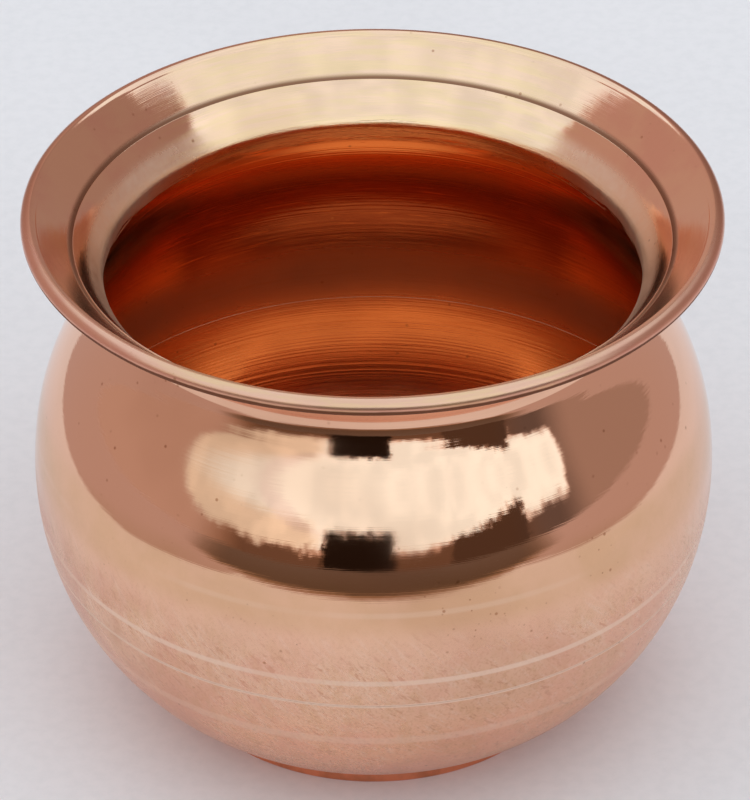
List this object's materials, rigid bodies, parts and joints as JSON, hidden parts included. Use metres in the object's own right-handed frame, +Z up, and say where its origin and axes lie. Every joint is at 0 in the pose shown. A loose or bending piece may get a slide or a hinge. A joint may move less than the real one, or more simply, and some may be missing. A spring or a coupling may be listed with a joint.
{
  "type": "lota",
  "caption": "Squat round copper water pot with a narrow throat, a wide flared mouth with a rolled and wired edge, and a low foot ring.",
  "frame": {"origin": "on the ground, at the centre of the foot ring", "axes": "+Z up along the vessel's axis of turning; X and Y are any two level directions, as the vessel is round"},
  "size_m": [0.11, 0.11, 0.0897],
  "materials": {
    "polished_copper": "polished copper, hand worn",
    "worn_copper": "worn satin copper with fine scratches",
    "dark_copper": "darkened copper",
    "copper_wire": "drawn copper wire, hidden in the rolled edge",
    "braze": "brass brazing filler"
  },
  "bodies": {
    "root": {"lower_bowl": "worn_copper", "belly_braze": "braze", "shoulder_and_neck": "polished_copper", "mouth_flange": "polished_copper", "mouth_braze": "braze", "rim_wire": "copper_wire", "foot_ring": "dark_copper", "foot_braze": "braze"}
  },
  "joints": []
}
